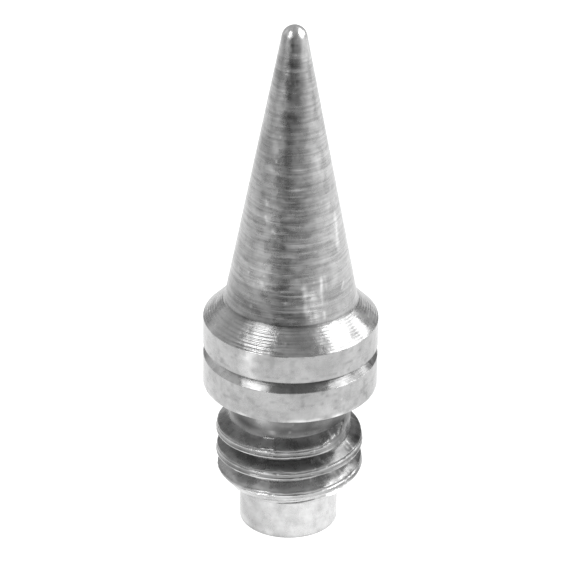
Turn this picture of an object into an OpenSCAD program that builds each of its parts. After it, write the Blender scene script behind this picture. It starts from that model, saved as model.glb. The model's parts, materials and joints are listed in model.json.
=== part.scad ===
// Small live center on a threaded shank. A hardened point with a flange turns
// on two radial ball bearings and one thrust ball bearing, which sit inside the
// shank. Millimetres, +Z up, origin at the centre of the pilot's end face.

/* [Shank thread] */
// Outside diameter of the shank thread (3/8 inch)
thread_d = 9.525; // [9.4:0.005:9.6]
// Pitch of the shank thread (16 turns per inch)
thread_pitch = 1.5875; // [1.55:0.0025:1.6]
// Depth of the thread
thread_depth = 0.82; // [0.75:0.01:0.85]
// Flat width of the thread's crest
crest_flat = 0.5; // [0.4:0.01:0.55]
// Diameter of the plain neck under the collar
neck_d = 7.8; // [7.7:0.05:8.2]

/* [Pilot] */
// Diameter of the plain pilot below the thread (1/4 inch)
pilot_d = 6.35; // [6.3:0.01:6.5]
// Length of the pilot
pilot_h = 3.05; // [2.9:0.05:3.2]

/* [Collar and head] */
// Outside diameter of the housing's collar and the head's flange
collar_d = 11.2; // [11:0.05:11.6]
// Height of the shoulder, the collar's lower face
shoulder_z = 10.05; // [10:0.05:10.2]
// Height of the collar's straight side
collar_h = 2.15; // [2.05:0.05:2.2]
// Height of the flange's straight side
flange_h = 1.9; // [1.7:0.05:2.2]
// Running gap between the collar's top and the head
face_gap = 0.1; // [0.08:0.01:0.12]

/* [Point] */
// Overall height, from the pilot's end to the tip
overall_h = 34.9; // [33:0.05:36]
// Diameter of the cone where it meets the flange's chamfer
cone_base_d = 8.5; // [8.3:0.05:8.7]
// Radius of the rounded tip
tip_r = 0.82; // [0.7:0.01:0.95]

/* [Spindle] */
// Diameter of the spindle in the front bearings
spindle_d = 3; // [2.9:0.05:3.1]
// Diameter of the spindle's tail in the rear bearing
tail_d = 2; // [1.9:0.05:2.1]
// Depth of the spindle's seat in the point
seat_depth = 8; // [6:0.1:9]

/* [Hidden] */
$fn = 96;
ball_clear = 0.015;              // play between a ball and its raceways
edge = 0.1;                      // small broken edges

// Thread
crest_r = thread_d / 2;
root_r = crest_r - thread_depth;
lead_h = 1;                      // height of the lead chamfer on the thread's lower end
thread_top_z = 7.55;             // middle of the ridge where it dies out
thread_top_angle = -10;          // and its angle about the axis
fade_turns = 0.21;               // length of the run-out
thread_turns = 3.15;
steps_per_turn = 40;
embed = 0.14;                    // how far the ridge reaches into the core
neck_low_z = 7.9;                // where the thread's core meets the neck
neck_step_h = 0.1;               // height of the small cone between them
undercut_h = 0.1;                // relief under the collar, so that only its rim seats
undercut_r = crest_r + 0.14;

// Collar, running face and flange
collar_r = collar_d / 2;
collar_edge_z = shoulder_z + collar_h;
top_chamfer = 0.6;               // 45 degree chamfer on the collar's top
collar_top_z = collar_edge_z + top_chamfer;
head_face_z = collar_top_z + face_gap;
flange_top_z = head_face_z + flange_h;
cone_base_r = cone_base_d / 2;
cone_base_z = flange_top_z + collar_r - cone_base_r;

// Rounded tip: an arc tangent to the cone, whose half angle follows from the
// cone's base and the tip arc's centre
tip_centre_z = overall_h - tip_r;
base_to_tip = norm([cone_base_r, tip_centre_z - cone_base_z]);
cone_angle = atan(cone_base_r / (tip_centre_z - cone_base_z)) - asin(tip_r / base_to_tip);

// Thrust bearing, 3 x 8 x 3.5, with its balls between two grooved washers
thrust_z = 10.55;
thrust_bore_r = spindle_d / 2;
thrust_r = 4;
thrust_washer_h = 1.1;
thrust_ball_r = 0.794;
thrust_pitch_r = 2.75;
thrust_balls_n = 6;
thrust_h = 3.5;
thrust_top_z = thrust_z + thrust_h;
thrust_ball_z = thrust_z + thrust_h / 2;
thrust_play = 0.1;               // between the standing washer's bore and the spindle
thrust_cage_r = [1.85, 3.7];     // inner and outer radius
thrust_cage_h = 0.6;

// Radial bearings: [bore radius, outer radius, width, pitch radius, balls, lower face]
front_bearing = [spindle_d / 2, 3, 2.5, 2.25, 7, 7.95];
rear_bearing = [tail_d / 2, 2.5, 2.5, 1.75, 6, 1.35];
function bore_r(b) = b[0];
function outer_r(b) = b[1];
function pitch_r(b) = b[3];
function balls_n(b) = b[4];
function low_z(b) = b[5];
function top_z(b) = b[5] + b[2];
function centre_z(b) = b[5] + b[2] / 2;
radial_ball_r = 0.4;
land = 0.27;                     // half the gap between a bearing's two shoulders
shield_h = 0.12;
shield_inset = 0.1;
shield_gap = 0.05;               // between a shield and the inner ring
crown_band = 0.15;               // half the thickness of a crown cage
crown_low = 0.65;                // how far it reaches below the balls' centres
crown_high = 0.2;                // and above them
pocket_clear = 0.03;             // play of a ball in its cage pocket

// Bores of the housing, from the pilot's end upwards
rear_bore_r = outer_r(rear_bearing);
rear_bore_top = 4.35;
web_bore_r = 1.8;
front_bore_r = outer_r(front_bearing);
front_bore_z = 5.2;
pocket_r = thrust_r + 0.05;
sleeve_wall = 0.45;

// Face seal, a cord ring in a groove in the collar's top
seal_r = 4.5;
seal_cord_r = 0.22;
seal_groove_w = 0.46;
seal_groove_h = 0.43;
seal_proud = 0.02;

// Retaining clip and end plug
clip_h = 0.4;
clip_r = 2;
clip_seat_r = 0.75;
clip_z = low_z(rear_bearing) - clip_h;
clip_mouth = 1.2;                // width of the opening at the side
clip_relief_r = 0.32;            // round reliefs between the clip's three lands
clip_relief_at = 1.15;           // their distance from the axis
clip_slot = 0.4;                 // slots that join them to the bore
plug_h = 0.45;
spindle_end_z = 0.55;
spindle_chamfer = 0.3;           // lead for pressing the spindle into the point

// Wave spring
waves = 3;
spring_steps = 72;
spring_thick = 0.12;
spring_r = [1.85, 2.4];          // inner and outer radius

// ---- helpers ----

// A ring's cross-section with chamfers c on its inner and outer corners
function ring_section(r0, r1, z0, z1, c0 = 0, c1 = 0) = [
    [r0 + c0, z0], [r1 - c1, z0], [r1, z0 + c1], [r1, z1 - c1],
    [r1 - c1, z1], [r0 + c0, z1], [r0, z1 - c0], [r0, z0 + c0],
];

// Distinct points only, so that a chamfer of 0 leaves no doubled corner
function distinct(p) = [for (i = [0 : len(p) - 1]) if (norm(p[i] - p[(i + 1) % len(p)]) > 1e-6) p[i]];

module turned(points) { rotate_extrude() polygon(distinct(points)); }

module ring(r0, r1, z0, z1, c0 = 0, c1 = 0) { turned(ring_section(r0, r1, z0, z1, c0, c1)); }

// Balls on a pitch circle
module ball_set(n, ring_r, r, z) {
    for (i = [0 : n - 1])
        rotate([0, 0, i * 360 / n]) translate([ring_r, 0, z]) sphere(r);
}

// A ring or washer with a ball groove turned into it
module grooved(section, ring_r, groove_r, z) {
    rotate_extrude()
        difference() {
            polygon(distinct(section));
            translate([ring_r, z]) circle(groove_r);
        }
}

// ---- radial ball bearing, from its list of sizes ----

module outer_ring(b) {
    section = ring_section(pitch_r(b) + land, outer_r(b), low_z(b), top_z(b), 0, edge);
    grooved(section, pitch_r(b), radial_ball_r + ball_clear, centre_z(b));
}

module inner_ring(b) {
    section = ring_section(bore_r(b), pitch_r(b) - land, low_z(b), top_z(b), edge, 0);
    grooved(section, pitch_r(b), radial_ball_r + ball_clear, centre_z(b));
}

// Crown cage: a thin band, open on one side, with a round pocket for each ball
module crown_cage(b) {
    difference() {
        ring(pitch_r(b) - crown_band, pitch_r(b) + crown_band,
            centre_z(b) - crown_low, centre_z(b) + crown_high);
        ball_set(balls_n(b), pitch_r(b), radial_ball_r + pocket_clear, centre_z(b));
    }
}

module radial_balls(b) {
    color([0.85, 0.85, 0.87]) ball_set(balls_n(b), pitch_r(b), radial_ball_r, centre_z(b));
}

// Two thin shields, snapped into the outer ring's shoulders
module shields(b) {
    for (z = [low_z(b) + shield_inset, top_z(b) - shield_inset - shield_h])
        ring(pitch_r(b) - land + shield_gap, pitch_r(b) + land, z, z + shield_h);
}

// ---- shank thread ----

// Radius that the lead chamfer leaves at a height
function chamfer_r(z) = root_r + (z - pilot_h) * thread_depth / lead_h;

// Radius of the ridge's crest, t turns below its top end
function crest_at(t) = root_r - 0.05 + (thread_depth + 0.05) * min(1, (t + 0.05) / fade_turns);

function corner(angle, r, z) = [r * cos(angle), r * sin(angle), z];

// The ridge's cross-section, t turns below its top end, from the lower foot round
// the crest to the upper foot. Its flanks are 60 degrees apart. Near the end face
// the crest's two corners lie where the flanks meet the lead chamfer.
function ridge_section(t) =
    let (
        angle = thread_top_angle - t * 360,
        mid = thread_top_z - t * thread_pitch,
        slope = 1 / tan(30),
        taper = thread_depth / lead_h,
        crest = crest_flat / 2 + (crest_r - crest_at(t)) / slope,
        foot = crest_flat / 2 + (thread_depth + embed) / slope,
        low_cut = ((mid - crest) * slope - pilot_h * taper - thread_depth) / (slope - taper),
        high_cut = ((mid + crest) * slope + pilot_h * taper + thread_depth) / (slope + taper),
        low = max(pilot_h + 0.04, min(mid - crest, low_cut)),
        high = max(mid + crest, high_cut)
    )
    [
        corner(angle, root_r - embed, max(pilot_h + 0.02, mid - foot)),
        corner(angle, min(crest_at(t), chamfer_r(low)), low),
        corner(angle, min(crest_at(t), chamfer_r(high)), high),
        corner(angle, root_r - embed, mid + foot),
    ];

module thread_ridge() {
    n = round(thread_turns * steps_per_turn);
    points = [for (i = [0 : n]) each ridge_section((n - i) / steps_per_turn)];
    sides = [
        for (i = [0 : n - 1], k = [0 : 3])
            let (a = 4 * i + k, b = 4 * i + (k + 1) % 4)
            each [[a, b, b + 4], [a, b + 4, a + 4]]
    ];
    ends = [[0, 2, 1], [0, 3, 2], [4 * n, 4 * n + 1, 4 * n + 2], [4 * n, 4 * n + 2, 4 * n + 3]];
    polyhedron(points, concat(sides, ends), convexity = 8);
}

// ---- pieces that stand still ----

// Shank, collar and pilot in one turned piece, bored for the bearings
module housing() {
    color([0.72, 0.72, 0.72])
    union() {
        difference() {
            turned([
                [rear_bore_r, 0], [pilot_d / 2 - edge, 0], [pilot_d / 2, edge],
                [pilot_d / 2, pilot_h], [root_r, pilot_h], [root_r, neck_low_z],
                [neck_d / 2, neck_low_z + neck_step_h], [neck_d / 2, shoulder_z + undercut_h],
                [undercut_r, shoulder_z + undercut_h], [undercut_r, shoulder_z],
                [collar_r - edge, shoulder_z], [collar_r, shoulder_z + edge],
                [collar_r, collar_edge_z], [collar_r - top_chamfer, collar_top_z],
                [pocket_r, collar_top_z], [pocket_r, thrust_z],
                [front_bore_r, thrust_z], [front_bore_r, front_bore_z],
                [web_bore_r, front_bore_z], [web_bore_r, rear_bore_top],
                [rear_bore_r, rear_bore_top],
            ]);
            ring(seal_r - seal_groove_w / 2, seal_r + seal_groove_w / 2,
                collar_top_z - seal_groove_h, collar_top_z + 1);
        }
        thread_ridge();
    }
}

module end_plug() { color([0.6, 0.6, 0.6]) cylinder(r = rear_bore_r, h = plug_h); }

module face_seal() {
    color([0.08, 0.08, 0.08])
        rotate_extrude()
            translate([seal_r, collar_top_z + seal_proud - seal_cord_r]) circle(seal_cord_r);
}

// A washer of the thrust bearing, with its bore and its lower face
module thrust_washer(inner_r, z) {
    section = ring_section(inner_r, thrust_r, z, z + thrust_washer_h, edge, edge);
    color([0.75, 0.75, 0.75])
        grooved(section, thrust_pitch_r, thrust_ball_r + ball_clear, thrust_ball_z);
}

module thrust_housing_washer() { thrust_washer(thrust_bore_r + thrust_play, thrust_z); }

module front_outer_ring() { color([0.75, 0.75, 0.75]) outer_ring(front_bearing); }

module front_shields() { color([0.7, 0.7, 0.7]) shields(front_bearing); }

// Sleeve that carries the front bearing's outer ring
module spacer_sleeve() {
    color([0.65, 0.65, 0.65])
        ring(front_bore_r - sleeve_wall, front_bore_r, front_bore_z, low_z(front_bearing), 0, edge);
}

module rear_outer_ring() { color([0.75, 0.75, 0.75]) outer_ring(rear_bearing); }

module rear_shields() { color([0.7, 0.7, 0.7]) shields(rear_bearing); }

// Three-wave spring washer between the web and the rear bearing's outer ring
module preload_wave_spring() {
    steps = spring_steps;
    low = top_z(rear_bearing);
    room = rear_bore_top - low;
    swing = (room - spring_thick) / 2;
    function mid(i) = low + room / 2 + swing * cos(waves * i * 360 / steps);
    function at(i, k, side) = corner(i * 360 / steps, spring_r[k], mid(i) + side * spring_thick / 2);
    points = [for (i = [0 : steps - 1]) each [at(i, 0, -1), at(i, 1, -1), at(i, 1, 1), at(i, 0, 1)]];
    faces = [
        for (i = [0 : steps - 1], k = [0 : 3])
            let (j = (i + 1) % steps, a = 4 * i + k, b = 4 * i + (k + 1) % 4,
                c = 4 * j + (k + 1) % 4, d = 4 * j + k)
            each [[a, b, c], [a, c, d]]
    ];
    color([0.55, 0.55, 0.6]) polyhedron(points, faces, convexity = 4);
}

// ---- pieces that turn with the point ----

// Flange and cone in one piece, with the seats for the thrust washer and spindle
module point() {
    arc_steps = 10;
    drill_tip_h = 0.5;
    color([0.7, 0.7, 0.7])
    turned(concat(
        [
            [thrust_r, head_face_z], [collar_r - edge / 2, head_face_z],
            [collar_r, head_face_z + edge / 2], [collar_r, flange_top_z],
            [cone_base_r, cone_base_z],
        ],
        [for (i = [0 : arc_steps])
            let (a = cone_angle + i * (90 - cone_angle) / arc_steps)
            [tip_r * cos(a), tip_centre_z + tip_r * sin(a)]],
        [
            [0, thrust_top_z + seat_depth + drill_tip_h], [spindle_d / 2, thrust_top_z + seat_depth],
            [spindle_d / 2, thrust_top_z], [thrust_r, thrust_top_z],
        ]
    ));
}

// Stepped spindle, pressed into the point and grooved for the clip
module spindle() {
    step_z = top_z(rear_bearing);
    end_z = thrust_top_z + seat_depth;
    color([0.68, 0.68, 0.68])
    turned([
        [0, spindle_end_z], [tail_d / 2 - edge, spindle_end_z], [tail_d / 2, spindle_end_z + edge],
        [tail_d / 2, clip_z], [clip_seat_r, clip_z], [clip_seat_r, clip_z + clip_h],
        [tail_d / 2, clip_z + clip_h], [tail_d / 2, step_z], [spindle_d / 2 - edge, step_z],
        [spindle_d / 2, step_z + edge], [spindle_d / 2, end_z - spindle_chamfer],
        [spindle_d / 2 - spindle_chamfer, end_z], [0, end_z],
    ]);
}

module thrust_shaft_washer() { thrust_washer(thrust_bore_r, thrust_top_z - thrust_washer_h); }

module front_inner_ring() { color([0.75, 0.75, 0.75]) inner_ring(front_bearing); }

module rear_inner_ring() { color([0.75, 0.75, 0.75]) inner_ring(rear_bearing); }

// E-shaped clip: open at one side, with three lands that grip the groove
module retaining_clip() {
    color([0.3, 0.3, 0.32])
    difference() {
        ring(clip_seat_r, clip_r, clip_z, clip_z + clip_h);
        translate([0, -clip_mouth / 2, clip_z - 1]) cube([2 * clip_r, clip_mouth, 2 + clip_h]);
        for (a = [110, 250])
            rotate([0, 0, a]) {
                translate([clip_relief_at, 0, clip_z - 1]) cylinder(r = clip_relief_r, h = 2 + clip_h);
                translate([0, -clip_slot / 2, clip_z - 1]) cube([clip_relief_at, clip_slot, 2 + clip_h]);
            }
    }
}

// ---- rolling sets ----

module thrust_cage() {
    low = thrust_ball_z - thrust_cage_h / 2;
    color([0.78, 0.62, 0.3])
    difference() {
        ring(thrust_cage_r[0], thrust_cage_r[1], low, low + thrust_cage_h, edge / 2, edge / 2);
        ball_set(thrust_balls_n, thrust_pitch_r, thrust_ball_r + pocket_clear, thrust_ball_z);
    }
}

module thrust_balls() {
    color([0.85, 0.85, 0.87]) ball_set(thrust_balls_n, thrust_pitch_r, thrust_ball_r, thrust_ball_z);
}

module front_cage() { color([0.78, 0.62, 0.3]) crown_cage(front_bearing); }

module front_balls() { radial_balls(front_bearing); }

module rear_cage() { color([0.78, 0.62, 0.3]) crown_cage(rear_bearing); }

module rear_balls() { radial_balls(rear_bearing); }

housing();
point();
spindle();
retaining_clip();
end_plug();
face_seal();
thrust_housing_washer();
thrust_shaft_washer();
thrust_cage();
thrust_balls();
front_outer_ring();
front_inner_ring();
front_cage();
front_balls();
front_shields();
spacer_sleeve();
preload_wave_spring();
rear_outer_ring();
rear_inner_ring();
rear_cage();
rear_balls();
rear_shields();
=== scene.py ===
"""Looks of the small live center: turned steel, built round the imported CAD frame."""

import json
import math

import bmesh
import bpy
import numpy as np
from mathutils import Matrix, Vector


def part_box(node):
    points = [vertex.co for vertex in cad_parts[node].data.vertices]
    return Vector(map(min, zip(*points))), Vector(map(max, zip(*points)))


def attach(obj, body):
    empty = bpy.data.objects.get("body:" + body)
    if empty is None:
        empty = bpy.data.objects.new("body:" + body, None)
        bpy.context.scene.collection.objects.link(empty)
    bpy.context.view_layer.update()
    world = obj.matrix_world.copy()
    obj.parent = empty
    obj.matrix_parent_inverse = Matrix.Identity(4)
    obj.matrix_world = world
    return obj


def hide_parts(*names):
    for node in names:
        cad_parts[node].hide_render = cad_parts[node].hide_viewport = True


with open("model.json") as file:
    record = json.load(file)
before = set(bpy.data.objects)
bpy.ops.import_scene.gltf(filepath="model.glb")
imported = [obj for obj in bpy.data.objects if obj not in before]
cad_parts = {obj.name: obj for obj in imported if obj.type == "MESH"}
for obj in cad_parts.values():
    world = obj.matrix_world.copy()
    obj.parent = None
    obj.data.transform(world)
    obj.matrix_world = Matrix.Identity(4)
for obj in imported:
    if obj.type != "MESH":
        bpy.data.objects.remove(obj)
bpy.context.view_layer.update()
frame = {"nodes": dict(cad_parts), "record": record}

MM = 0.001

# ---- sizes in millimetres; the frame gives those that it states ----

MOUNTS = {mount["name"]: mount for mount in frame["record"]["mounts"]}

HEAD_FACE_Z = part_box("point")[0].z / MM
TIP_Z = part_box("point")[1].z / MM
COLLAR_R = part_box("point")[1].x / MM
COLLAR_TOP_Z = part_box("housing")[1].z / MM
WASHER_TOP_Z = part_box("thrust_shaft_washer")[1].z / MM
POCKET_FLOOR_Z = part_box("thrust_housing_washer")[0].z / MM
WASHER_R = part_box("thrust_shaft_washer")[1].x / MM
SPINDLE_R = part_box("spindle")[1].x / MM
SPINDLE_TOP_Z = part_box("spindle")[1].z / MM
FRONT_BORE_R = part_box("front_outer_ring")[1].x / MM
SLEEVE_LOW_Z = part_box("spacer_sleeve")[0].z / MM
REAR_BORE_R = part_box("rear_outer_ring")[1].x / MM
SPRING_TOP_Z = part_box("preload_wave_spring")[1].z / MM
PILOT_R = MOUNTS["pilot"]["dims"]["r_mm"]
SHOULDER_Z = MOUNTS["shoulder"]["pos_m"][2] / MM

FLANGE_H = 1.9
CONE_BASE_R = 4.25
TIP_R = 0.82
FOOT_FILLET = 0.5
COLLAR_CHAMFER = 0.6
PILOT_H = 3.05
NECK_R = 3.9
NECK_LOW_Z = 7.85
NECK_FILLET = 0.28
UNDERCUT_H = 0.1
UNDERCUT_R = 4.9
THREAD_R = 4.7625
THREAD_DEPTH = 0.82
THREAD_PITCH = 1.5875
CREST_HALF = 0.25
CREST_SLOPE = 0.16
THREAD_TOP_Z = 7.55
THREAD_TOP_TURN = -10 / 360
FADE_TURNS = 0.2
LEAD_H = 1.0
WEB_BORE_R = 1.8
POCKET_CLEARANCE = 0.05
SEAL_R = 4.5
SEAL_GROOVE_W = 0.46
SEAL_GROOVE_H = 0.43
EDGE = 0.07

ROOT_R = THREAD_R - THREAD_DEPTH
FLANK = math.tan(math.radians(30))
FLANGE_TOP_Z = HEAD_FACE_Z + FLANGE_H
CHAMFER_TOP_Z = FLANGE_TOP_Z + COLLAR_R - CONE_BASE_R
TIP_CENTRE_Z = TIP_Z - TIP_R
CONE_RISE = TIP_CENTRE_Z - CHAMFER_TOP_Z
CONE_ANGLE = math.atan(CONE_BASE_R / CONE_RISE) - math.asin(TIP_R / math.hypot(CONE_BASE_R, CONE_RISE))
GAP_EDGE_Z = COLLAR_TOP_Z - COLLAR_CHAMFER

# radii that tell the outer faces from the ones inside
SIDE_R = COLLAR_R - 0.3
GAP_FACE_R = 4.9
PILOT_SIDE_R = PILOT_R - 0.075
PILOT_RIM_R = PILOT_R - 0.175

# columns round the axis
POINT_COLUMNS = 250
HOUSING_COLUMNS = 320

# places round the axis are in turns from +X; this one faces the camera
FRONT = 0.75


# ---- noise and masks ----


def grain(turn, height, cells_round, cell_h, seed):
    """Smooth noise from -1 to 1 that closes round the axis; height in the same unit as cell_h."""
    rows = 997
    table = np.random.default_rng(seed).uniform(-1, 1, (rows, cells_round))
    u = np.mod(turn, 1.0) * cells_round
    v = height / cell_h + 311.0
    iu, iv = np.floor(u).astype(int), np.floor(v).astype(int)
    fu, fv = u - iu, v - iv
    fu, fv = fu * fu * (3 - 2 * fu), fv * fv * (3 - 2 * fv)

    def along(row):
        return table[row, iu % cells_round] * (1 - fu) + table[row, (iu + 1) % cells_round] * fu

    return along(iv % rows) * (1 - fv) + along((iv + 1) % rows) * fv


def bell(x, width):
    """A soft bump, 1 at x = 0."""
    return np.exp(-((x / width) ** 2))


def above(x, level, soft):
    """0 up to level, rising to 1 at soft above it."""
    return np.clip((x - level) / soft, 0, 1)


def under(x, level, soft):
    """0 from level up, rising to 1 at soft under it."""
    return np.clip((level - x) / soft, 0, 1)


def arc_gap(turn, other, r):
    """Distance round the axis between two turns, in mm."""
    return (np.mod(turn - other + 0.5, 1.0) - 0.5) * 2 * np.pi * r


def facing(turn, centre, width):
    """1 on the side at a turn, falling off over a width in radians."""
    return bell(arc_gap(turn, centre, 1), width)


def painted_glints(turn, r, z, count, low, high, seed, first=0.0, last=1.0, size=0.06):
    """Painted glints: small bright specks scattered between two heights and two turns, from 0 to 1."""
    rng = np.random.default_rng(seed)
    total = np.zeros_like(z)
    for _ in range(count):
        at_turn, at_z = rng.uniform(first, last), rng.uniform(low, high)
        total += rng.uniform(0.3, 1) * bell(np.hypot(arc_gap(turn, at_turn, r), z - at_z), size)
    return np.minimum(total, 1)


def turning_lines(height, seed, spacing):
    """Uneven cuts left by the turning tool, along the whole part; one cut is up to 1."""
    rng = np.random.default_rng(seed)
    total = np.zeros_like(height)
    start, end = -2.0, 40
    z = start
    while z < end:
        z += spacing * rng.uniform(0.4, 1.9)
        total += rng.uniform(0.1, 1.0) ** 2 * bell(height - z, rng.uniform(0.035, 0.09))
    return total


# ---- outlines and meshes ----


def steps(a, b, n):
    """n points from a to b, without the last."""
    return [a + (b - a) * i / n for i in range(n)]


def line(p, q, n):
    """n points from p towards q, without q."""
    return list(zip(steps(p[0], q[0], n), steps(p[1], q[1], n)))


def arc(centre, radius, start, end, n):
    """n + 1 points on an arc, angles in degrees in the r-z plane."""
    angles = [math.radians(start + (end - start) * i / n) for i in range(n + 1)]
    return [(centre[0] + radius * math.cos(a), centre[1] + radius * math.sin(a)) for a in angles]


def add_object(name, mesh):
    """An object for a mesh, linked to the scene."""
    obj = bpy.data.objects.new(name, mesh)
    bpy.context.scene.collection.objects.link(obj)
    return obj


def clean(obj):
    """Merges doubled points, turns the faces outwards and sets smooth shading with sharp edges."""
    merge = 0.0004 * MM
    sharp = math.radians(38)
    bm = bmesh.new()
    bm.from_mesh(obj.data)
    bmesh.ops.remove_doubles(bm, verts=bm.verts, dist=merge)
    bmesh.ops.dissolve_degenerate(bm, edges=bm.edges, dist=merge / 2)
    bmesh.ops.recalc_face_normals(bm, faces=bm.faces)
    for face in bm.faces:
        face.smooth = True
    for edge in bm.edges:
        edge.smooth = len(edge.link_faces) == 2 and edge.calc_face_angle(0) < sharp
    bm.to_mesh(obj.data)
    bm.free()


def revolve(name, outline, cols, relief):
    """Turns a closed outline of (r, z) points; relief(turn, r, z) gives the inward cut in mm."""
    r = np.array([p[0] for p in outline])
    z = np.array([p[1] for p in outline])
    dr, dz = np.gradient(r), np.gradient(z)
    size = np.maximum(np.hypot(dr, dz), 1e-9)
    normal_r, normal_z = dz / size, -dr / size
    turn = np.arange(cols) / cols
    turn_grid, r_grid = np.meshgrid(turn, r)
    z_grid = np.repeat(z[:, None], cols, 1)
    on_axis = r_grid < 1e-4
    cut = np.where(on_axis, 0, relief(turn_grid, r_grid, z_grid))
    r_grid = r_grid - cut * normal_r[:, None]
    z_grid = z_grid - cut * normal_z[:, None]
    angle = 2 * np.pi * turn
    xyz = np.stack([r_grid * np.cos(angle), r_grid * np.sin(angle), z_grid], -1).reshape(-1, 3) * MM

    rows = len(outline)
    faces = []
    for row in range(rows):
        here, there = row * cols, (row + 1) % rows * cols
        for col in range(cols):
            after = (col + 1) % cols
            faces.append([here + col, here + after, there + after, there + col])
    mesh = bpy.data.meshes.new(name)
    mesh.from_pydata([tuple(v) for v in xyz], [], faces)
    mesh.validate()
    obj = add_object(name, mesh)
    clean(obj)
    return obj


def paint(obj, tone):
    """Stores how light the steel is drawn at each point, its marks and painted light and shade together;
    tone(turn, r, z) is 1 for clean metal.
    """
    mesh = obj.data
    co = np.empty(len(mesh.vertices) * 3)
    mesh.vertices.foreach_get("co", co)
    x, y, z = co.reshape(-1, 3).T / MM
    layer = mesh.attributes.new("tone", "FLOAT", "POINT")
    layer.data.foreach_set("value", tone(np.arctan2(y, x) / (2 * np.pi), np.hypot(x, y), z))


# ---- the point ----

# pale strokes on the cone: turn and height of each end, half width in mm and strength
STROKES = [
    (0.785, 18.8, 0.790, 16.6, 0.14, 1.0),
    (0.804, 18.4, 0.812, 16.5, 0.28, 1.0),
    (0.797, 17.2, 0.800, 16.4, 0.10, 0.8),
    (0.835, 19.2, 0.830, 17.5, 0.10, 0.9),
    (0.835, 17.0, 0.835, 16.5, 0.12, 0.8),
    (0.925, 22.9, 0.910, 20.5, 0.22, 0.5),
    (0.915, 18.4, 0.900, 17.9, 0.07, 0.6),
    (0.665, 19.0, 0.680, 18.2, 0.20, 0.45),
    (0.645, 17.2, 0.645, 17.0, 0.08, 0.9),
    (0.735, 17.8, 0.735, 17.6, 0.07, 0.9),
    (0.650, 24.1, 0.655, 23.7, 0.12, 0.7),
    (0.655, 23.1, 0.660, 22.7, 0.10, 0.5),
    (0.845, 19.3, 0.850, 18.2, 0.06, 0.4),
    (0.675, 26.7, 0.675, 26.5, 0.07, 1.1),
    (0.690, 22.4, 0.690, 22.0, 0.14, 0.6),
    (0.310, 17.4, 0.318, 20.0, 0.10, 0.7),
    (0.335, 17.0, 0.340, 18.8, 0.08, 0.8),
    (0.180, 22.0, 0.186, 23.6, 0.08, 0.6),
    (0.455, 18.2, 0.450, 19.3, 0.08, 0.7),
]
# dents: turn, height, radius and depth in mm
DENTS = [
    (0.935, 24.5, 0.16, 0.050),
    (0.670, 30.6, 0.10, 0.010),
    (0.735, 27.9, 0.09, 0.008),
    (0.765, 33.2, 0.14, 0.012),
    (0.400, 25.1, 0.14, 0.024),
    (0.120, 20.4, 0.16, 0.020),
    (0.560, 29.3, 0.10, 0.016),
    (0.250, 31.8, 0.10, 0.018),
]
# dark blocks near the tip: height and half height
TIP_BLOCKS = [(33.72, 0.30), (32.72, 0.26), (31.6, 0.22), (29.4, 0.25)]
TIP_LINE_HEIGHTS = [33.25, 33.14, 32.35]


def on_cone(z):
    """1 on the cone, 0 on the chamfer and below."""
    return above(z, CHAMFER_TOP_Z, 0.05)


def on_flange_side(r, z):
    return (z < FLANGE_TOP_Z) & (r > SIDE_R)


def rough_side(turn):
    """How marked the cone is: most on two sides, from 0.22 to 1."""
    return 0.22 + 0.78 * np.maximum(facing(turn, FRONT, 0.55), facing(turn, 0.27, 0.8))


def strokes(turn, r, z):
    """Where the pale strokes lie, from 0 to 1.1."""
    total = np.zeros_like(z)
    for turn_a, z_a, turn_b, z_b, width, strength in STROKES:
        along = (z - z_a) / (z_b - z_a)
        inside = np.clip(along * 5 + 0.5, 0, 1) * np.clip((1 - along) * 4 + 0.5, 0, 1)
        centre = turn_a + (turn_b - turn_a) * along
        ragged = width * (1 + 0.5 * grain(turn, z, 180, 0.25, 44))
        total += strength * inside * bell(arc_gap(turn, centre, r), ragged)
    return np.minimum(total, 1.1) * on_cone(z)


def cone_relief(turn, r, z):
    """Turning cuts, unevenness and dents on the cone."""
    cone = on_cone(z) * under(z, TIP_Z - 0.1, 2.5)
    low = np.clip((28 - z) / 11, 0.35, 1)
    marked = rough_side(turn)
    patch = np.clip(0.4 + 1.1 * grain(turn, z, 9, 0.5, 11), 0, 1)
    other = np.clip(0.4 + 1.1 * grain(turn, z, 13, 0.4, 15), 0, 1)
    cut = cone * low * marked * 0.010 * turning_lines(z, 3, 0.30) * patch
    cut += cone * low * marked * 0.009 * turning_lines(z, 8, 0.24) * other
    cut += cone * marked * 0.012 * (1 + grain(turn, z, 22, 0.42, 12))
    cut += cone * marked * 0.006 * (1 + grain(turn, z, 20, 0.20, 16))
    for dent_turn, dent_z, radius, depth in DENTS:
        cut += on_cone(z) * depth * bell(np.hypot(arc_gap(turn, dent_turn, r), z - dent_z), radius)
    return cut


def chamfer_relief(turn, z):
    """Regular ridges left by the tool on the chamfer, strongest on its left."""
    chamfer = above(z, FLANGE_TOP_Z, 0.05) * under(z, CHAMFER_TOP_Z, 0.05)
    ridge_spacing = 0.15
    ridges = 1 + np.sin(z / ridge_spacing * 2 * math.pi + 1.2 * grain(turn, z, 8, 0.9, 18))
    left = 1 + 1.2 * facing(turn, 0.68, 0.5)
    return chamfer * left * 0.0045 * ridges * np.clip(0.8 + 0.6 * grain(turn, z, 14, 0.5, 13), 0, 1)


def point_relief(turn, r, z):
    """Marks on the point's outer surfaces."""
    outer = (r > CONE_BASE_R - 0.05) | (z > CHAMFER_TOP_Z - 0.05)
    cut = cone_relief(turn, r, z) + chamfer_relief(turn, z)
    cut += on_flange_side(r, z) * 0.004 * (1 + grain(turn, z, 46, 0.5, 14))
    return np.where(outer, cut, 0)


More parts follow.
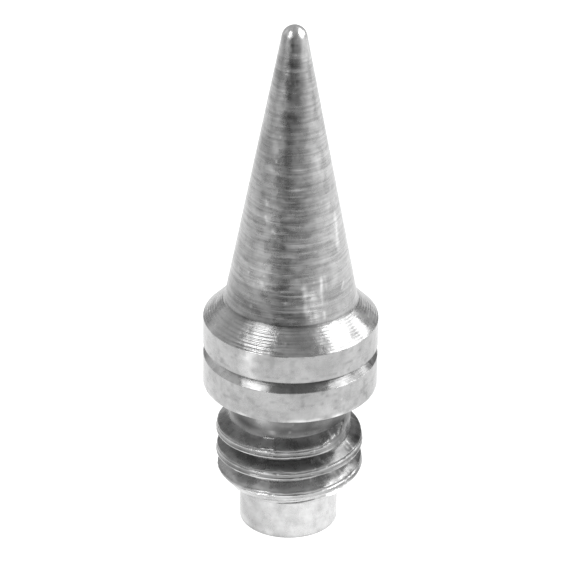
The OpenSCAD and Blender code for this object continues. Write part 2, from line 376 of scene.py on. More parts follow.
def shade_chamfer(tone, turn, z):
    """Paints shade on the line at the cone's foot and along the chamfer's grooves across its left
    highlight, mottles the chamfer, and dims its right highlight with painted shade.
    """
    # painted shade in the crease at the cone's foot
    tone *= 1 - 0.25 * bell(z - CHAMFER_TOP_Z, 0.14)
    slope = (z >= FLANGE_TOP_Z) * (1 - on_cone(z))
    groove_spacing = 0.21
    grooves = np.maximum(np.sin(z / groove_spacing * 2 * math.pi + 1.2 * grain(turn, z, 8, 0.9, 18)), 0)
    # painted shade: dark grooves across the chamfer's left highlight
    tone *= 1 - 0.30 * slope * grooves * facing(turn, 0.67, 0.45)
    tone *= 1 - 0.12 * slope * np.clip(grain(turn, z, 24, 0.2, 39) + 0.4, 0, 1)
    # painted shade dimming the chamfer's right highlight
    tone *= 1 - 0.20 * slope * facing(turn, 0.86, 0.45)


def shade_tip(tone, turn, r, z):
    """Dark blocks and pale lines under the tip, and a ball brightened with painted light."""
    front = bell(arc_gap(turn, 0.755, r), 0.40)
    for block_z, half in TIP_BLOCKS:
        block = under(np.abs(z - block_z), half, 0.06)
        tone *= 1 - 0.42 * front * block * np.clip(0.9 + 0.6 * grain(turn, z, 50, 0.2, 49), 0, 1)
    for line_z in TIP_LINE_HEIGHTS:
        tone += 0.5 * bell(arc_gap(turn, 0.76, r), 0.7) * bell(z - line_z, 0.035)
    # painted light: the ball tip made brighter
    tone *= 1 + 0.65 * above(z, TIP_CENTRE_Z + 0.3, 0.4)


def shade_cone(tone, turn, z):
    """A painted highlight on the right, mottling, and a painted dark and a painted pale reflection down the
    front.
    """
    cone, marked = on_cone(z), rough_side(turn)
    # painted highlight: a pale patch high on the cone's right side
    tone += 0.35 * cone * facing(turn, 0.90, 0.35) * bell(z - 26.6, 1.6)
    tone *= 1 + cone * (0.07 * grain(turn, z, 10, 1.3, 41) + 0.10 * grain(turn, z, 14, 0.20, 42) * marked)
    tone *= 1 - 0.32 * cone * marked * np.maximum(grain(turn, z, 22, 0.24, 46), 0)
    # painted reflection: a dark strip down the front
    tone *= 1 - 0.16 * cone * facing(turn, 0.725, 0.14)
    # painted reflection: a pale strip left of the front, broken up by noise
    uneven = np.clip(0.5 + grain(turn, z, 30, 0.5, 40), 0, 1)
    tone *= 1 + 0.12 * cone * facing(turn, 0.665, 0.16) * uneven


def shade_flange(tone, turn, r, z):
    """Pits, painted shade along the lower edge by the running gap and a painted highlight on the flange's
    side; painted shade on the faces on its left.
    """
    side = on_flange_side(r, z)
    pits = np.maximum(grain(turn, z, 110, 0.25, 48), 0) ** 2
    tone *= 1 + side * (0.07 * grain(turn, z, 14, 0.7, 47) - 0.30 * pits)
    # painted shade along the flange's lower edge, over the running gap
    tone *= 1 - 0.35 * side * bell(z - HEAD_FACE_Z, 0.07)
    # painted highlight: a pale patch on the flange's left side
    patch = bell(arc_gap(turn, 0.672, r), 0.55) * np.clip(0.7 + 0.6 * grain(turn, z, 60, 0.4, 38), 0, 1)
    tone += 0.85 * side * patch
    # painted shade on the left of the chamfer and the faces off the flange's side
    tone *= 1 - 0.25 * (1 - on_cone(z)) * (~side) * bell(arc_gap(turn, 0.60, r), 0.9)


def point_tone(turn, r, z):
    """Pale strokes, painted shade at the cone's foot, pits on the flange, painted light and shade on the
    chamfer, tip, cone and flange, and painted glints.
    """
    tone = 1 + 0.9 * strokes(turn, r, z)
    # painted shade: the lowest part of the cone darker, except on its right
    foot = under(z, 18.4, 1.4) * np.clip(0.5 - arc_gap(turn, 0.80, r) / 1.2, 0, 1)
    tone *= 1 - 0.38 * on_cone(z) * foot * (1 + 0.2 * grain(turn, z, 30, 0.4, 45))
    shade_chamfer(tone, turn, z)
    shade_tip(tone, turn, r, z)
    shade_cone(tone, turn, z)
    shade_flange(tone, turn, r, z)
    # painted glints on the chamfer and the cone
    tone += 0.9 * painted_glints(turn, r, z, 60, FLANGE_TOP_Z, CHAMFER_TOP_Z + 3, 51, size=0.055)
    return tone + 0.5 * painted_glints(turn, r, z, 60, CHAMFER_TOP_Z, TIP_Z, 52)


def flange_outline():
    """From the running gap's face up the flange's side to the chamfer."""
    outline = line((WASHER_R, HEAD_FACE_Z), (COLLAR_R - EDGE, HEAD_FACE_Z), 5)
    outline += arc((COLLAR_R - EDGE, HEAD_FACE_Z + EDGE), EDGE, -90, 0, 4)
    outline += line((COLLAR_R, HEAD_FACE_Z + EDGE * 1.4), (COLLAR_R, FLANGE_TOP_Z - 0.03), 24)
    return outline + [(COLLAR_R, FLANGE_TOP_Z - 0.03), (COLLAR_R - 0.008, FLANGE_TOP_Z)]


def cone_outline():
    """Up the 45 degree chamfer, round the foot's fillet, up the cone and over the ball tip."""
    reach = FOOT_FILLET * math.tan((math.radians(45) - CONE_ANGLE) / 2)
    half_root = math.sqrt(0.5)
    start = (CONE_BASE_R + reach * half_root, CHAMFER_TOP_Z - reach * half_root)
    centre = (start[0] + FOOT_FILLET * half_root, start[1] + FOOT_FILLET * half_root)
    outline = line((COLLAR_R - 0.03, FLANGE_TOP_Z + 0.022), start, 60)
    fillet = arc(centre, FOOT_FILLET, 225, 180 + math.degrees(CONE_ANGLE), 8)
    tangent = (TIP_R * math.cos(CONE_ANGLE), TIP_CENTRE_Z + TIP_R * math.sin(CONE_ANGLE))
    outline += fillet[:-1] + line(fillet[-1], tangent, 262)
    return outline + arc((0, TIP_CENTRE_Z), TIP_R, math.degrees(CONE_ANGLE), 90, 22)[:-1] + [(0, TIP_Z)]


def seat_outline():
    """The spindle's blind hole and the washer's seat, from the top down."""
    drill_h = 0.5
    outline = [(0, SPINDLE_TOP_Z + drill_h), (SPINDLE_R, SPINDLE_TOP_Z)]
    outline += line((SPINDLE_R, SPINDLE_TOP_Z - 0.1), (SPINDLE_R, WASHER_TOP_Z), 5)
    return outline + [(SPINDLE_R, WASHER_TOP_Z), (WASHER_R, WASHER_TOP_Z)]


def make_point():
    """The point: cone with a ball tip, chamfer and flange, with its seats inside."""
    outline = flange_outline() + cone_outline() + seat_outline()
    point = revolve("point_turned", outline, POINT_COLUMNS, point_relief)
    paint(point, point_tone)
    return point


# ---- the housing ----


def neck_profile(z):
    """Radius of the core under the thread and of the neck above it."""
    r = ROOT_R + (NECK_R - ROOT_R) * above(z, NECK_LOW_Z, 0.2)
    x = np.clip(z - (SHOULDER_Z + UNDERCUT_H - NECK_FILLET), 0, NECK_FILLET)
    return r + NECK_FILLET - np.sqrt(np.maximum(NECK_FILLET**2 - x**2, 0))


def ridge_place(turn, z):
    """Turns below the ridge's top end, and height above the middle of the nearest ridge."""
    rise = (z - THREAD_TOP_Z) / THREAD_PITCH
    whole = np.round(rise - (turn - THREAD_TOP_TURN))
    below = -(turn - THREAD_TOP_TURN + whole)
    return below, z - (THREAD_TOP_Z - below * THREAD_PITCH)


def ridge_height(turn, z):
    """How far the thread's ridge stands out of the root, negative where there is none."""
    below, d = ridge_place(turn, z)
    keep = np.clip((below + 0.03) / FADE_TURNS, 0, 1)
    height = THREAD_DEPTH * keep * keep * (3 - 2 * keep)
    half = CREST_HALF * (1 + 0.05 * grain(turn, z, 40, 0.3, 24)) + (THREAD_DEPTH - height) * FLANK
    flanks = height - np.maximum(np.abs(d) - half, 0) / FLANK
    wear = 0.5 + 0.5 * grain(turn, z, 26, 0.5, 21)
    crest = height - CREST_SLOPE * (d + half)
    low_lip, high_lip = bell(d + half - 0.03, 0.03), bell(d - half + 0.16, 0.035)
    high_groove, mid_groove = bell(d - half + 0.09, 0.03), bell(d + 0.10, 0.03)
    crest += keep * (0.016 + 0.016 * wear) * low_lip
    crest += keep * 0.020 * wear * high_lip
    crest -= 0.030 * keep * high_groove + 0.018 * keep * mid_groove
    sunk = 0.35 * (1 - keep) ** 3
    return np.where(below < -0.05, -1, np.minimum(flanks, crest) - sunk)


def thread_radius(turn, z):
    """Outer radius of the shank at a place round and along it."""
    _, d = ridge_place(turn, z)
    base = neck_profile(z)
    soft = 0.06 + 0.16 * above(z, 7.2, 0.4)
    soft *= np.clip((THREAD_PITCH / 2 - np.abs(d)) / 0.2, 0.05, 1)
    stand = ROOT_R + ridge_height(turn, z) - base
    blend = np.clip(0.5 + 0.5 * stand / soft, 0, 1)
    r = base + stand * blend + soft * blend * (1 - blend)
    torn = 1 + 2.5 * bell(arc_gap(turn, 0.91, r), 0.5) * bell(z - 4.0, 0.45)
    chips = 0.03 * torn * np.maximum(grain(turn, z, 90, 0.12, 22), 0) ** 2 * (r > base + 0.3)
    lead = ROOT_R + (z - PILOT_H) * THREAD_DEPTH / LEAD_H
    cut = np.minimum(r - chips, lead + 0.012 * grain(turn, z, 120, 0.15, 23))
    return np.minimum(np.maximum(cut, np.minimum(base, lead + 0.001)), THREAD_R)


def thread_rows(cols, z_top):
    """Heights of the thread's rows, column by column, and how many rows there are to a turn.

    The rows follow the helix between the pilot's top and z_top, close together on the crest.
    """
    crest = CREST_HALF
    foot = crest + THREAD_DEPTH * FLANK
    low = [foot + 0.03, foot - 0.04, crest + 0.28, crest + 0.12, crest + 0.04, crest + 0.01]
    low += [crest - 0.015, crest - 0.04, crest - 0.07, crest - 0.11, 0.10, 0.06]
    high = [0, 0.05, 0.09, 0.12, 0.15, 0.18, 0.21, crest, crest + 0.03, crest + 0.06, crest + 0.09]
    high += [crest + 0.14, crest + 0.22, crest + 0.32, foot - 0.04, foot + 0.03]
    offsets = [-h for h in low] + high
    turns, turns_below_top = 7, 5
    first = THREAD_TOP_Z - turns_below_top * THREAD_PITCH
    turn = np.arange(cols) / cols
    rise = turn - THREAD_TOP_TURN - 1
    z = [first + THREAD_PITCH * (t + rise) + d for t in range(turns) for d in offsets]
    return np.clip(np.array(z), PILOT_H, z_top), len(offsets)


def thread_zone(r, z):
    """1 on the thread and the neck, 0 on the pilot and the collar."""
    return above(z, PILOT_H + 0.55, 0.6) * under(z, SHOULDER_Z + 0.05, 0.1) * (r < THREAD_R + 0.1)


def shade_thread(tone, turn, r, z):
    """Paints shade on the flanks and roots, darkens and scores the crests, paints shade on the thread's
    right side, and rubs the crests' lips bright, brightest on the left as a painted highlight.
    """
    below, d = ridge_place(turn, z)
    thread = thread_zone(r, z)
    deep = under(r, THREAD_R - 0.12, 0.12)
    # painted shade on the flanks and roots, lighter on the lowest turns
    recess_shade = 0.44 + 0.07 * grain(turn, z, 14, 0.5, 62) + 0.07 * grain(turn, z, 60, 0.16, 63)
    recess_shade += 0.38 * under(z, 6.2, 1.5)
    tone *= 1 - thread * deep * (1 - recess_shade)
    on_ridge = above(below, 0, 0.15) * under(np.abs(d), 0.76, 0.1)
    crest = thread * (1 - deep) * on_ridge
    tone *= 1 - crest * (0.45 - 0.12 * grain(turn, z, 30, 0.3, 64))
    # painted shade on the thread's right side; the scoring below is stronger there
    right = above(arc_gap(turn, 0.88, r), -1.5, 3) * under(arc_gap(turn, FRONT, r), 12, 3)
    tone *= 1 - thread * right * (0.35 - 0.25 * grain(turn, z, 60, 0.2, 73))
    scored = grain(turn, d, 9, 0.045, 76) + 0.6 * grain(turn, d, 17, 0.09, 77)
    tone *= 1 + 0.22 * thread * on_ridge * scored * (0.5 + right)
    lips = bell(d + CREST_HALF - 0.03, 0.035) + 0.8 * bell(d - CREST_HALF + 0.16, 0.035)
    # painted highlight: the lips brighter on the left
    lips *= 1 + 0.9 * facing(turn, 0.68, 0.5)
    tone += crest * 0.75 * lips * (0.7 + 0.5 * grain(turn, z, 40, 0.4, 65))


def shade_neck(tone, turn, r, z):
    """Paints shade on the neck, most at its foot, with two paler strips and a small bright spot as painted
    highlights, and painted shade at the thread's top on the right.
    """
    neck = above(z, 8.0, 0.4) * (r < NECK_R + 0.35) * (z < SHOULDER_Z + 0.05)
    # painted shade on the neck under the collar, most at its foot
    tone *= 1 - neck * (0.30 - 0.22 * grain(turn, z, 20, 0.8, 66)) - 0.35 * neck * bell(z - 8.1, 0.45)
    # painted highlight: a small bright spot on the fillet at the neck's foot
    tone += 0.9 * neck * bell(arc_gap(turn, 0.705, r), 0.22) * bell(z - 8.25, 0.10)
    # painted highlights: two paler strips
    tone *= 1 + neck * (0.9 * facing(turn, 0.675, 0.15) + 0.35 * facing(turn, 0.83, 0.35))
    # painted shade at the thread's top on its right
    tone *= 1 - 0.55 * thread_zone(r, z) * facing(turn, 0.905, 0.38) * bell(z - 8.0, 0.35) * (r < 4.4)


def shade_pilot(tone, turn, r, z):
    """Painted light on the pilot and the thread's lead end, painted shade at the pilot's ends, a painted
    pale and a painted dark reflection, and light mottling.
    """
    # painted light: the pilot and the thread's lead end made lighter
    tone *= 1 + 0.45 * under(z, 4.9, 0.7)
    # painted shade at the pilot's foot on the floor and where it meets the thread
    tone *= 1 - 0.5 * bell(z, 0.09) * (r > PILOT_RIM_R) - 0.25 * bell(z - PILOT_H, 0.07)
    pilot = (r > PILOT_SIDE_R) & (z < PILOT_H)
    # painted reflections: a pale and a dark strip down the pilot
    tone *= 1 + pilot * (0.12 * facing(turn, 0.69, 0.13) - 0.14 * facing(turn, 0.635, 0.16))
    tone *= 1 - pilot * (0.06 - 0.10 * grain(turn, z, 22, 0.35, 74) - 0.06 * grain(turn, z, 12, 3.0, 75))


def shade_collar(tone, turn, r, z):
    """Pits and a pale burr on the collar's side, and painted shade on the face in the running gap, with
    painted light at its left end.
    """
    collar = (r > SIDE_R) & (z > SHOULDER_Z)
    pits = np.maximum(grain(turn, z, 110, 0.25, 67), 0) ** 2
    tone *= 1 + collar * (0.08 * grain(turn, z, 14, 0.7, 68) - 0.30 * pits)
    burr = bell(z - SHOULDER_Z - 0.08, 0.12) * np.clip(0.3 + grain(turn, z, 50, 0.15, 69), 0, 1)
    tone += 0.8 * burr * (r > SIDE_R)
    # painted shade in the running gap under the flange, lighter at its left end as painted light
    gap_face = (z > GAP_EDGE_Z + 0.01) * (r > GAP_FACE_R)
    tone *= 1 - gap_face * (0.5 - 0.75 * facing(turn, 0.60, 0.50))


def housing_tone(turn, r, z):
    """Thread and neck with painted shade and rubbed crest edges, painted light on the pilot, a worn collar
    with painted shade in its gap, and painted glints.
    """
    tone = 1 + 0.05 * grain(turn, z, 12, 1.1, 61)
    shade_thread(tone, turn, r, z)
    shade_neck(tone, turn, r, z)
    shade_pilot(tone, turn, r, z)
    shade_collar(tone, turn, r, z)
    # painted glints, most on the thread's right side
    tone += 0.9 * painted_glints(turn, r, z, 50, 4.2, 8.0, 71, 0.80, 0.93) * thread_zone(r, z)
    return tone + 0.5 * painted_glints(turn, r, z, 70, 3.4, 12.4, 72)


def housing_relief(turn, r, z):
    """Marks on the housing's turned faces."""
    ring_spacing = 0.1
    side = (r > SIDE_R) & (z > SHOULDER_Z)
    cut = side * 0.004 * (1 + grain(turn, z, 46, 0.5, 31))
    slope = (z > GAP_EDGE_Z - 0.01) & (r > GAP_FACE_R)
    cut += slope * 0.003 * (1 + np.sin(z / ring_spacing * 2 * math.pi))
    pilot = (z < PILOT_H) & (r > PILOT_SIDE_R)
    return cut + pilot * 0.002 * (1 + grain(turn, z, 40, 0.8, 32))


def pilot_outline():
    """From the rear bore's mouth out and up to the thread's foot."""
    outline = line((REAR_BORE_R, 0), (PILOT_R - EDGE, 0), 6)
    outline += arc((PILOT_R - EDGE, EDGE), EDGE, -90, 0, 4)
    outline += line((PILOT_R, EDGE * 1.5), (PILOT_R, PILOT_H), 20)
    return outline + line((PILOT_R, PILOT_H), (ROOT_R, PILOT_H), 4)


def collar_outline():
    """From the neck's top out through the undercut, up the side and over the chamfer."""
    undercut_z = SHOULDER_Z + UNDERCUT_H
    outline = line((NECK_R + NECK_FILLET, undercut_z), (UNDERCUT_R, undercut_z), 4)
    outline += [(UNDERCUT_R, undercut_z)]
    outline += line((UNDERCUT_R, SHOULDER_Z), (COLLAR_R - EDGE, SHOULDER_Z), 6)
    outline += arc((COLLAR_R - EDGE, SHOULDER_Z + EDGE), EDGE, -90, 0, 4)
    outline += line((COLLAR_R, SHOULDER_Z + EDGE * 1.4), (COLLAR_R, GAP_EDGE_Z - 0.02), 26)
    outline += [(COLLAR_R, GAP_EDGE_Z - 0.02), (COLLAR_R - 0.006, GAP_EDGE_Z)]
    chamfer_end = (COLLAR_R - COLLAR_CHAMFER, COLLAR_TOP_Z)
    return outline + line((COLLAR_R - 0.02, GAP_EDGE_Z + 0.015), chamfer_end, 22)


def bore_outline():
    """From the collar's top, past the seal's groove, down the pocket and both bearing bores."""
    seal_out, seal_in = SEAL_R + SEAL_GROOVE_W / 2, SEAL_R - SEAL_GROOVE_W / 2
    seal_z = COLLAR_TOP_Z - SEAL_GROOVE_H
    pocket_r = WASHER_R + POCKET_CLEARANCE
    return [
        (COLLAR_R - COLLAR_CHAMFER, COLLAR_TOP_Z),
        (seal_out, COLLAR_TOP_Z),
        (seal_out, seal_z),
        (seal_in, seal_z),
        (seal_in, COLLAR_TOP_Z),
        (pocket_r, COLLAR_TOP_Z),
        (pocket_r, POCKET_FLOOR_Z),
        (FRONT_BORE_R, POCKET_FLOOR_Z),
        (FRONT_BORE_R, SLEEVE_LOW_Z),
        (WEB_BORE_R, SLEEVE_LOW_Z),
        (WEB_BORE_R, SPRING_TOP_Z),
        (REAR_BORE_R, SPRING_TOP_Z),
    ]


def plain_rings(outline, turn):
    """Radii and heights of the rings through an outline, with the turned faces' marks."""
    r = np.array([p[0] for p in outline])[:, None] * np.ones(len(turn))
    z = np.array([p[1] for p in outline])[:, None] * np.ones(len(turn))
    return r - housing_relief(turn[None, :], r, z), z


def neck_rings(low_z, turn):
    """Radii and heights of the level rings from the thread's run-out to the undercut."""
    heights = steps(low_z, SHOULDER_Z + UNDERCUT_H - 0.001, 22)
    z = np.array(heights)[:, None] * np.ones(len(turn))
    return thread_radius(turn[None, :], z), z


def add_rings(bm, radius, height, turn):
    """Adds rows of points round the axis and returns them."""
    angle = 2 * np.pi * turn
    rows = []
    for r_row, z_row in zip(radius, height):
        x, y = r_row * np.cos(angle), r_row * np.sin(angle)
        rows.append([bm.verts.new((a * MM, b * MM, c * MM)) for a, b, c in zip(x, y, z_row)])
    return rows


def join_rings(bm, a, b):
    """A band of faces between two closed rings."""
    for i in range(len(a)):
        j = (i + 1) % len(a)
        bm.faces.new((a[i], a[j], b[j], b[i]))


def join_helix(bm, rows, per_turn):
    """Faces between helical rows; at the seam a row meets the one that lies a turn further on."""
    for a, b in zip(rows, rows[1:]):
        for i in range(len(a) - 1):
            bm.faces.new((a[i], a[i + 1], b[i + 1], b[i]))
    for i in range(len(rows) - 1 - per_turn):
        a, b = rows[i], rows[i + 1]
        c, d = rows[i + per_turn], rows[i + 1 + per_turn]
        bm.faces.new((a[-1], c[0], d[0], b[-1]))


def make_housing():
    """Pilot, threaded shank, neck and collar in one piece, bored for the bearings."""
    neck_z = 8.35
    turn = np.arange(HOUSING_COLUMNS) / HOUSING_COLUMNS
    bm = bmesh.new()
    low = add_rings(bm, *plain_rings(pilot_outline(), turn), turn)
    heights, per_turn = thread_rows(HOUSING_COLUMNS, neck_z)
    radii = thread_radius(np.repeat(turn[None, :], len(heights), 0), heights)
    thread = add_rings(bm, radii, heights, turn)
    high = add_rings(bm, *neck_rings(neck_z, turn), turn)
    high += add_rings(bm, *plain_rings(collar_outline(), turn), turn)
    high += add_rings(bm, *plain_rings(bore_outline(), turn), turn)
    for rows in (low, high):
        for a, b in zip(rows, rows[1:]):
            join_rings(bm, a, b)
    join_helix(bm, thread, per_turn)
    join_rings(bm, low[-1], thread[0])
    join_rings(bm, thread[-1], high[0])
    join_rings(bm, high[-1], low[0])
    mesh = bpy.data.meshes.new("housing_turned")
    bm.to_mesh(mesh)
    bm.free()
    housing = add_object("housing_turned", mesh)
    clean(housing)
    paint(housing, housing_tone)
    return housing


# ---- shader helpers ----


def new_material(name):
    mat = bpy.data.materials.new(name)
    mat.use_nodes = True
    nodes, links = mat.node_tree.nodes, mat.node_tree.links
    return mat, nodes, links, nodes["Principled BSDF"]


def feed(links, socket, value):
    """Sets a socket to a number, or links it to an output."""
    if isinstance(value, (int, float)):
        socket.default_value = value
    else:
        links.new(value, socket)


def stretched_noise(nodes, links, scale, detail, rough):
    """Noise over object coordinates, with a scale for each axis in features per metre."""
    coords = nodes.new("ShaderNodeTexCoord")
    mapping = nodes.new("ShaderNodeMapping")
    mapping.inputs["Scale"].default_value = scale
    noise = nodes.new("ShaderNodeTexNoise")
    noise.inputs["Scale"].default_value = 1.0
    noise.inputs["Detail"].default_value = detail
    noise.inputs["Roughness"].default_value = rough
    links.new(coords.outputs["Object"], mapping.inputs["Vector"])
    links.new(mapping.outputs["Vector"], noise.inputs["Vector"])
    return noise.outputs["Fac"]


def ramp(nodes, links, source, stops):
    """Colour ramp over source; stops are (place, grey or colour)."""
    node = nodes.new("ShaderNodeValToRGB")
    elements = node.color_ramp.elements
    while len(elements) < len(stops):
        elements.new(0.5)
    for element, (position, tone) in zip(elements, stops):
        element.position = position
        colour = tone if isinstance(tone, tuple) else (tone, tone, tone)
        element.color = (*colour, 1)
    links.new(source, node.inputs["Fac"])
    return node.outputs["Color"]


def multiply_colours(nodes, links, a, b, factor):
    """a times b, as far as factor says; factor is a number or an output."""
    node = nodes.new("ShaderNodeMix")
    node.data_type = "RGBA"
    node.blend_type = "MULTIPLY"
    feed(links, node.inputs["Factor"], factor)
    links.new(a, node.inputs["A"])
    links.new(b, node.inputs["B"])
    return node.outputs["Result"]


def maths(nodes, links, operation, *values, clamp=False):
    """A Math node; each value is a number or an output."""
    node = nodes.new("ShaderNodeMath")
    node.operation = operation
    node.use_clamp = clamp
    for socket, value in zip(node.inputs, values):
        feed(links, socket, value)
    return node.outputs[0]


def object_axes(nodes, links):
    """The three object coordinates, in metres."""
    coords = nodes.new("ShaderNodeTexCoord")
    split = nodes.new("ShaderNodeSeparateXYZ")
    links.new(coords.outputs["Object"], split.inputs[0])
    return split.outputs


def height_band(nodes, links, low, high, soft):
    """1 between two heights in millimetres, falling to 0 over soft on each side."""
    height = maths(nodes, links, "MULTIPLY", object_axes(nodes, links)["Z"], 1 / MM)
    up = maths(nodes, links, "MULTIPLY_ADD", height, 1 / soft, -low / soft + 1, clamp=True)
    down = maths(nodes, links, "MULTIPLY_ADD", height, -1 / soft, high / soft + 1, clamp=True)
    return maths(nodes, links, "MULTIPLY", up, down)


def bump(nodes, links, height, depth, under_bump=None):
    """Bump of a given depth in metres, laid over another bump."""
    node = nodes.new("ShaderNodeBump")
    node.inputs["Strength"].default_value = 1.0
    node.inputs["Distance"].default_value = depth
    links.new(height, node.inputs["Height"])
    if under_bump is not None:
        links.new(under_bump, node.inputs["Normal"])
    return node.outputs["Normal"]


# ---- materials ----

LINE_DEPTH = 0.014 * MM
WAVE_DEPTH = 0.04 * MM
PIT_DEPTH = 0.003 * MM


def set_turned_gloss(nodes, links, shader):
    """Stretches the highlights round the axis, as turning marks do."""
    shader.inputs["Anisotropic"].default_value = 0.4
    shader.inputs["Anisotropic Rotation"].default_value = 0.25
    tangent = nodes.new("ShaderNodeTangent")
    tangent.direction_type = "RADIAL"
    tangent.axis = "Z"
    links.new(tangent.outputs["Tangent"], shader.inputs["Tangent"])


def turned_steel(name, tone=0.41, rough=0.26, lines=0.9, painted=True):
    """Steel with mottling, fine pits and lines round the axis, darkened by the painted tone, which holds
    marks and painted light and shade.

    lines is the strength that the lines gain on the cone, over the faint ones everywhere.
    """
    mat, nodes, links, shader = new_material(name)
    shader.inputs["Metallic"].default_value = 1.0
    mottle = stretched_noise(nodes, links, (1400, 1400, 1100), 4, 0.6)
    waves = stretched_noise(nodes, links, (1100, 1100, 1600), 1, 0.4)
    cloud = stretched_noise(nodes, links, (330, 330, 260), 4, 0.65)
    rings = stretched_noise(nodes, links, (300, 300, 6000), 4, 0.65)
    grit = stretched_noise(nodes, links, (4200, 4200, 4200), 2, 0.5)
    cone = height_band(nodes, links, CHAMFER_TOP_Z, TIP_Z - 2, 0.3)
    lines_here = maths(nodes, links, "MULTIPLY_ADD", cone, lines, 0.15)

    colour = ramp(nodes, links, mottle, [(0.3, tone * 0.86), (0.7, tone * 1.08)])
    shades = [
        (rings, 0.36, 0.60, 0.74, lines_here),
        (grit, 0.30, 0.50, 0.92, 0.5),
        (cloud, 0.36, 0.60, 0.84, 1.0),
    ]
    for source, low, high, dark, factor in shades:
        shade = ramp(nodes, links, source, [(low, dark), (high, 1.04)])
        colour = multiply_colours(nodes, links, colour, shade, factor)
    if painted:
        attribute = nodes.new("ShaderNodeAttribute")
        attribute.attribute_name = "tone"
        colour = multiply_colours(nodes, links, colour, attribute.outputs["Color"], 1.0)
    links.new(colour, shader.inputs["Base Color"])

    gloss = ramp(nodes, links, mottle, [(0.3, rough * 0.85), (0.75, rough * 1.4)])
    links.new(gloss, shader.inputs["Roughness"])
    normal = bump(nodes, links, maths(nodes, links, "MULTIPLY", rings, lines_here), LINE_DEPTH)
    normal = bump(nodes, links, waves, WAVE_DEPTH, normal)
    normal = bump(nodes, links, grit, PIT_DEPTH, normal)
    links.new(normal, shader.inputs["Normal"])
    set_turned_gloss(nodes, links, shader)
    return mat


def plain_metal(name, colour, rough):
    """Metal of one colour with a little variation in tone and gloss."""
    mat, nodes, links, shader = new_material(name)
    shader.inputs["Metallic"].default_value = 1.0
    noise = stretched_noise(nodes, links, (900, 900, 900), 4, 0.6)
    low = tuple(c * 0.86 for c in colour)
    high = tuple(min(1, c * 1.08) for c in colour)
    tint = ramp(nodes, links, noise, [(0.3, low), (0.7, high)])
    gloss = ramp(nodes, links, noise, [(0.3, rough * 0.7), (0.75, rough * 1.4)])
    links.new(tint, shader.inputs["Base Color"])
    links.new(gloss, shader.inputs["Roughness"])
    return mat


def seal_rubber():
    """Matt black rubber."""
    mat, nodes, links, shader = new_material("seal_rubber")
    noise = stretched_noise(nodes, links, (3000, 3000, 3000), 4, 0.6)
    tint = ramp(nodes, links, noise, [(0.3, 0.012), (0.7, 0.03)])
    gloss = ramp(nodes, links, noise, [(0.3, 0.5), (0.7, 0.75)])
    links.new(tint, shader.inputs["Base Color"])
    links.new(gloss, shader.inputs["Roughness"])
    return mat


def assign(obj, material):
    obj.data.materials.clear()
    obj.data.materials.append(material)


# ---- stage, lights and camera ----

FLOOR_HALF = 0.7
LIGHT_DISTANCE = 0.30
CAMERA_DISTANCE = 0.222
CAMERA_LENS = 217.7

# the grey screen's tone at angles from the front, in degrees, the right positive
SCREEN_TONES = [
    (-130, 1.0),
    (-100, 0.85),
    (-84, 0.55),
    (-62, 0.62),
    (-40, 0.22),
    (-18, 0.14),
    (5, 0.34),
    (30, 0.5),
    (60, 1.0),
]


def make_floor():
    """A plain pale floor at the pilot's end."""
    half = FLOOR_HALF
    mesh = bpy.data.meshes.new("floor")
    corners = [(-half, -half, 0), (half, -half, 0), (half, half, 0), (-half, half, 0)]
    mesh.from_pydata(corners, [], [(0, 1, 2, 3)])
    floor = add_object("floor", mesh)
    mat, _, _, shader = new_material("floor")
    shader.inputs["Base Color"].default_value = (0.25, 0.25, 0.25, 1)
    shader.inputs["Roughness"].default_value = 0.9
    shader.inputs["Emission Color"].default_value = (1, 1, 1, 1)
    shader.inputs["Emission Strength"].default_value = 0.9
    assign(floor, mat)


def screen_material(start, end):
    """Glows in the grey that SCREEN_TONES gives for each angle round the front."""
    mat, nodes, links, shader = new_material("grey_screen")
    axes = object_axes(nodes, links)
    forward = maths(nodes, links, "MULTIPLY", axes["Y"], -1)
    angle = maths(nodes, links, "ARCTAN2", axes["X"], forward)
    part = maths(nodes, links, "MULTIPLY_ADD", angle, 1 / math.radians(end - start), -start / (end - start))
    stops = [((a - start) / (end - start), tone) for a, tone in SCREEN_TONES]
    shader.inputs["Base Color"].default_value = (0, 0, 0, 1)
    shader.inputs["Specular IOR Level"].default_value = 0
    shader.inputs["Emission Strength"].default_value = 1.0
    links.new(ramp(nodes, links, part, stops), shader.inputs["Emission Color"])
    return mat


def make_grey_screen():
    """A curved grey screen in front that the cone reflects; the camera can't see it.

    It is darkest a little left of the front and as pale as the floor at both ends.
    """
    radius, bottom, top, segments = 0.085, 0.0005, 0.10, 44
    start, end = -130, 110
    angles = [math.radians(start + (end - start) * i / segments) for i in range(segments + 1)]
    verts = [(radius * math.sin(a), -radius * math.cos(a), z) for a in angles for z in (bottom, top)]
    faces = [(2 * i, 2 * i + 2, 2 * i + 3, 2 * i + 1) for i in range(segments)]
    mesh = bpy.data.meshes.new("grey_screen")
    mesh.from_pydata(verts, [], faces)
    screen = add_object("grey_screen", mesh)
    screen.visible_camera = False
    screen.visible_diffuse = False
    screen.visible_shadow = False
    assign(screen, screen_material(start, end))


def panel(name, towards, size, power, target):
    """A square soft light that looks at target from the direction towards."""
    data = bpy.data.lights.new(name, "AREA")
    data.shape = "SQUARE"
    data.size = size
    data.energy = power
    light = add_object(name, data)
    direction = Vector(towards).normalized()
    light.location = target + direction * LIGHT_DISTANCE
    light.rotation_mode = "QUATERNION"
    light.rotation_quaternion = direction.to_track_quat("Z", "Y")


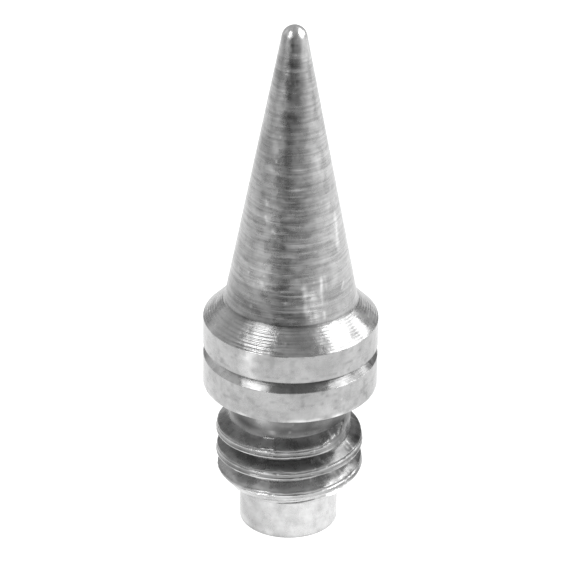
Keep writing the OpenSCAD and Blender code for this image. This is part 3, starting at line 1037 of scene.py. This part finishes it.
def make_lights():
    """Two soft lights on the whole part, two for the tip's highlights, and an even grey sky."""
    middle = Vector((0, 0, 0.015))
    tip = Vector((0, 0, TIP_Z * MM))
    panel("light_right", (0.80, 0.10, 0.59), 0.25, 1.15, middle)
    panel("light_left", (-0.52, -0.30, 0.80), 0.08, 0.13, middle)
    panel("light_tip_left", (-0.64, -0.60, 0.49), 0.09, 0.7, tip)
    panel("light_tip_right", (0.875, -0.14, 0.44), 0.08, 0.5, tip)
    world = bpy.data.worlds.new("studio")
    bpy.context.scene.world = world
    world.use_nodes = True
    sky = world.node_tree.nodes["Background"].inputs
    sky["Color"].default_value = (0.5, 0.5, 0.5, 1)
    sky["Strength"].default_value = 1.0


def make_camera():
    """Looks down on the part from the front, with the part leaning slightly to the right."""
    elevation, roll, yaw, pitch = (math.radians(a) for a in (28.56, -0.77, 0.053, 0.437))
    data = bpy.data.cameras.new("camera")
    data.sensor_width = 36
    data.lens = CAMERA_LENS
    data.clip_start, data.clip_end = 0.01, 5
    camera = bpy.data.objects.new("camera", data)
    back = Vector((0, -math.cos(elevation), math.sin(elevation)))
    right = Vector((1, 0, 0))
    up = back.cross(right)
    lean = Matrix.Rotation(roll, 3, "Z") @ Matrix.Rotation(pitch, 3, "X") @ Matrix.Rotation(yaw, 3, "Y")
    axes = lean @ Matrix((right, up, -back))
    stand = Matrix((axes[0], axes[1], -axes[2])).transposed().to_4x4()
    stand.translation = Vector((0, 0, FLANGE_TOP_Z * MM)) + back * CAMERA_DISTANCE
    camera.matrix_world = stand
    bpy.context.scene.collection.objects.link(camera)
    bpy.context.scene.camera = camera


# ---- putting it together ----


def add_piece(obj, material, body, node):
    """Gives a new piece its material, and lets it stand for a CAD node."""
    assign(obj, material)
    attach(obj, body)
    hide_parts(node)


def dress_inner_nodes():
    """Materials for the CAD nodes that stay as they are."""
    looks = {
        "body_steel": turned_steel("plug_steel", tone=0.45, rough=0.3, lines=0.0, painted=False),
        "ground_steel": plain_metal("ground_steel", (0.62, 0.62, 0.63), 0.22),
        "race_steel": plain_metal("race_steel", (0.66, 0.66, 0.67), 0.12),
        "ball_steel": plain_metal("ball_steel", (0.75, 0.75, 0.76), 0.05),
        "cage_brass": plain_metal("cage_brass", (0.70, 0.52, 0.24), 0.3),
        "shield_steel": plain_metal("shield_steel", (0.55, 0.55, 0.56), 0.3),
        "spring_steel": plain_metal("spring_steel", (0.16, 0.16, 0.17), 0.35),
        "seal_rubber": seal_rubber(),
    }
    for part in frame["record"]["subparts"]:
        node, slot = part["node"], part["material_slot"]
        if node not in ("point", "housing"):
            assign(frame["nodes"][node], looks[slot])


make_camera()
make_floor()
make_grey_screen()
make_lights()
add_piece(make_point(), turned_steel("point_steel"), "point", "point")
add_piece(make_housing(), turned_steel("body_steel", lines=0.0), "housing", "housing")
dress_inner_nodes()

scene = bpy.context.scene
scene.view_settings.view_transform = "Standard"
scene.view_settings.look = "None"
